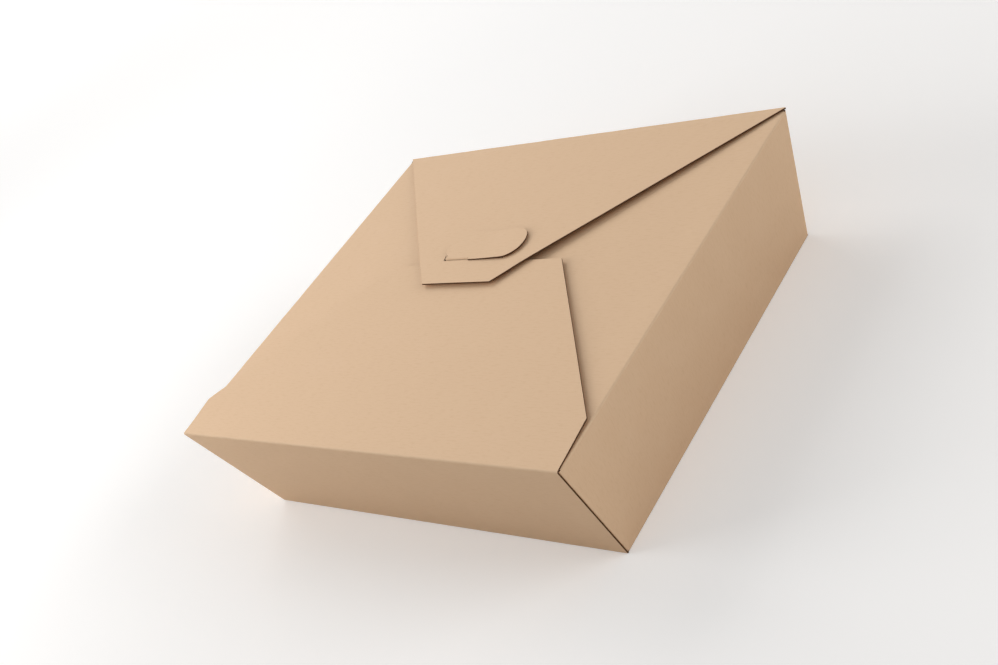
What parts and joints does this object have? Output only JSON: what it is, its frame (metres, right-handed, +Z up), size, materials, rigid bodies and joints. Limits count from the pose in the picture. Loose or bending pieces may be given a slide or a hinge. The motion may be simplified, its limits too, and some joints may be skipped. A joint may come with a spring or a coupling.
{
  "type": "cardboard food box",
  "caption": "Shut kraft board food box with tapered walls, folded side and front flaps, and a hinged back flap locked by a rounded tongue in a slit.",
  "frame": {"origin": "middle of the underside of the base", "axes": "+X across the width, +Y from the front wall to the back wall with the hinged flap, +Z up"},
  "size_m": [0.175, 0.1497, 0.049],
  "materials": {
    "kraft_board": "matte uncoated"
  },
  "bodies": {
    "box": {"folded_box": "kraft_board", "locking_tongue": "kraft_board"},
    "lid": {"back_flap": "kraft_board"}
  },
  "joints": [
    {"name": "back_fold", "type": "hinge", "parent": "box", "child": "lid", "pos_m": [0, 0.0747, 0.04495], "axis": [-1, 0, 0], "range_deg": [0, 200], "deforming": ["locking_tongue"]}
  ]
}
